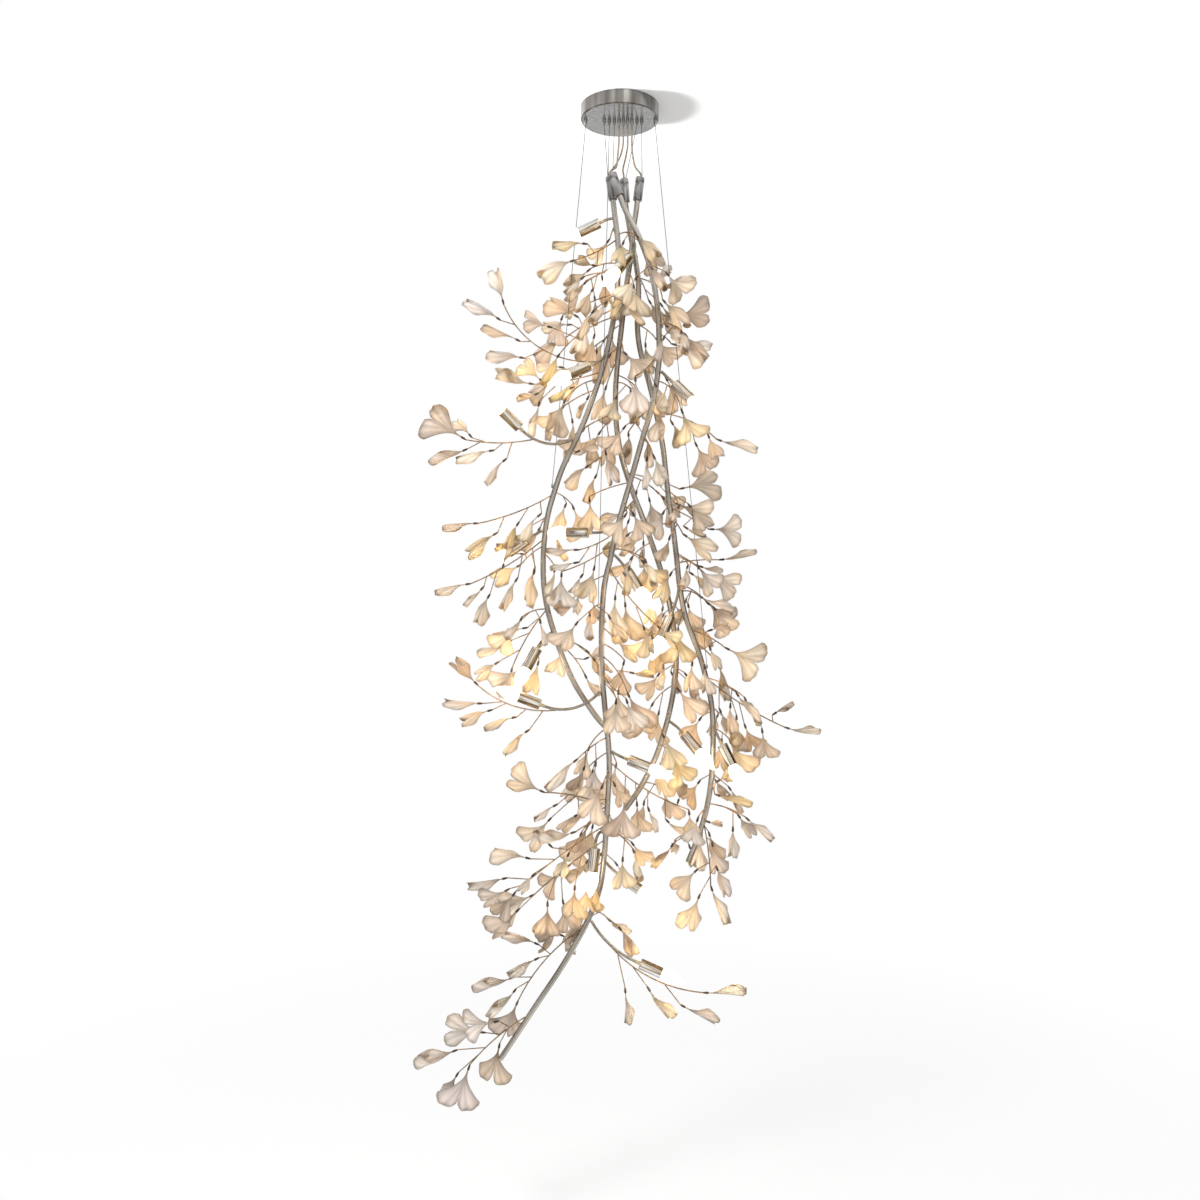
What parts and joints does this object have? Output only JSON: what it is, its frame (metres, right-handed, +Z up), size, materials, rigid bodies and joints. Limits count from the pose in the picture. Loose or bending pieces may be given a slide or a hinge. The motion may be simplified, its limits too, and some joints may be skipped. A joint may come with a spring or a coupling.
{
  "type": "branch chandelier",
  "caption": "Hanging branch chandelier: curved metal tubes on thin wires carry candle lamps in tubular cups and folded porcelain leaves on thin twigs.",
  "frame": {"origin": "centre of the canopy's top on the ceiling plane, midway between the two ceiling screws", "axes": "+Z up, against the ceiling; X along the row of wires; -Y towards the viewer of the picture"},
  "size_m": [1.0598, 0.4742, 2.5796],
  "materials": {
    "galvanised_steel": "zinc plated",
    "chrome_canopy": "polished",
    "terminal_plastic": "moulded",
    "brass": "machined",
    "lead_insulation": "silicone sleeve",
    "gripper_nickel": "nickel plated",
    "steel_wire": "stranded",
    "black_plastic": "moulded",
    "polished_nickel_tube": "polished, warm nickel",
    "copper_cord": "copper-brown sheath",
    "brushed_cap": "brushed",
    "dark_screw": "blackened",
    "bronze_twig": "satin dark bronze",
    "dark_ferrule": "satin dark brown",
    "porcelain_leaf": "unglazed, translucent, ribbed",
    "chrome_cup": "polished",
    "holder_ceramic": "plain",
    "nickel_base": "nickel plated",
    "bulb_glass": "frosted, lit",
    "filament": "lit filament stick"
  },
  "bodies": {
    "canopy": {"ceiling_bracket": "galvanised_steel", "canopy_cover": "chrome_canopy", "canopy_side_screws": "chrome_canopy", "terminal_block": "terminal_plastic", "terminal_screws": "brass", "inner_leads": "lead_insulation", "gripper_bodies": "gripper_nickel", "gripper_nuts": "brass", "wire_tails": "steel_wire", "cord_glands": "black_plastic", "gland_nuts": "black_plastic"},
    "nozzle_left": {"nozzle_left": "gripper_nickel"},
    "nozzle_right": {"nozzle_right": "gripper_nickel"},
    "nozzle_long": {"nozzle_long": "gripper_nickel"},
    "nozzle_cap_left": {"nozzle_cap_left": "gripper_nickel"},
    "nozzle_cap_front": {"nozzle_cap_front": "gripper_nickel"},
    "nozzle_cap_rear": {"nozzle_cap_rear": "gripper_nickel"},
    "nozzle_cap_right": {"nozzle_cap_right": "gripper_nickel"},
    "cluster": {"suspension_wires": "steel_wire", "wire_stops": "steel_wire", "wire_lugs": "polished_nickel_tube", "power_cord_front": "copper_cord", "power_cord_left": "copper_cord", "power_cord_right": "copper_cord", "power_cord_rear": "copper_cord", "branch_caps": "brushed_cap", "cap_grub_screws": "dark_screw", "front_branch_tube": "polished_nickel_tube", "left_branch_tube": "polished_nickel_tube", "rear_branch_tube": "polished_nickel_tube", "right_branch_tube": "polished_nickel_tube", "front_branch_wiring": "lead_insulation", "left_branch_wiring": "lead_insulation", "rear_branch_wiring": "lead_insulation", "right_branch_wiring": "lead_insulation", "tube_end_plugs": "brass", "front_twigs": "bronze_twig", "left_twigs": "bronze_twig", "rear_twigs": "bronze_twig", "right_twigs": "bronze_twig", "front_ferrules": "dark_ferrule", "left_ferrules": "dark_ferrule", "rear_ferrules": "dark_ferrule", "right_ferrules": "dark_ferrule", "front_leaves": "porcelain_leaf", "left_leaves": "porcelain_leaf", "rear_leaves": "porcelain_leaf", "right_leaves": "porcelain_leaf", "lamp_arms": "polished_nickel_tube", "lamp_nipples": "brass", "lamp_leads": "lead_insulation", "arm_lock_nuts": "brass", "lamp_cups": "chrome_cup", "lamp_holders": "holder_ceramic", "bulb_bases": "nickel_base", "bulb_glass": "bulb_glass", "bulb_filaments": "filament"}
  },
  "joints": [
    {"name": "nozzle_left_release", "type": "slide", "parent": "canopy", "child": "nozzle_left", "axis": [0, 0, 1], "range_m": [0, 0.0015], "stiffness_N_per_m": 800},
    {"name": "nozzle_right_release", "type": "slide", "parent": "canopy", "child": "nozzle_right", "axis": [0, 0, 1], "range_m": [0, 0.0015], "stiffness_N_per_m": 800},
    {"name": "nozzle_long_release", "type": "slide", "parent": "canopy", "child": "nozzle_long", "axis": [0, 0, 1], "range_m": [0, 0.0015], "stiffness_N_per_m": 800},
    {"name": "nozzle_cap_left_release", "type": "slide", "parent": "canopy", "child": "nozzle_cap_left", "axis": [0, 0, 1], "range_m": [0, 0.0015], "stiffness_N_per_m": 800},
    {"name": "nozzle_cap_front_release", "type": "slide", "parent": "canopy", "child": "nozzle_cap_front", "axis": [0, 0, 1], "range_m": [0, 0.0015], "stiffness_N_per_m": 800},
    {"name": "nozzle_cap_rear_release", "type": "slide", "parent": "canopy", "child": "nozzle_cap_rear", "axis": [0, 0, 1], "range_m": [0, 0.0015], "stiffness_N_per_m": 800},
    {"name": "nozzle_cap_right_release", "type": "slide", "parent": "canopy", "child": "nozzle_cap_right", "axis": [0, 0, 1], "range_m": [0, 0.0015], "stiffness_N_per_m": 800},
    {"name": "cluster_sway", "type": "hinge", "parent": "canopy", "child": "cluster", "pos_m": [0, 0, -0.048], "axis": [1, 0, 0], "range_deg": [-3, 3]}
  ]
}
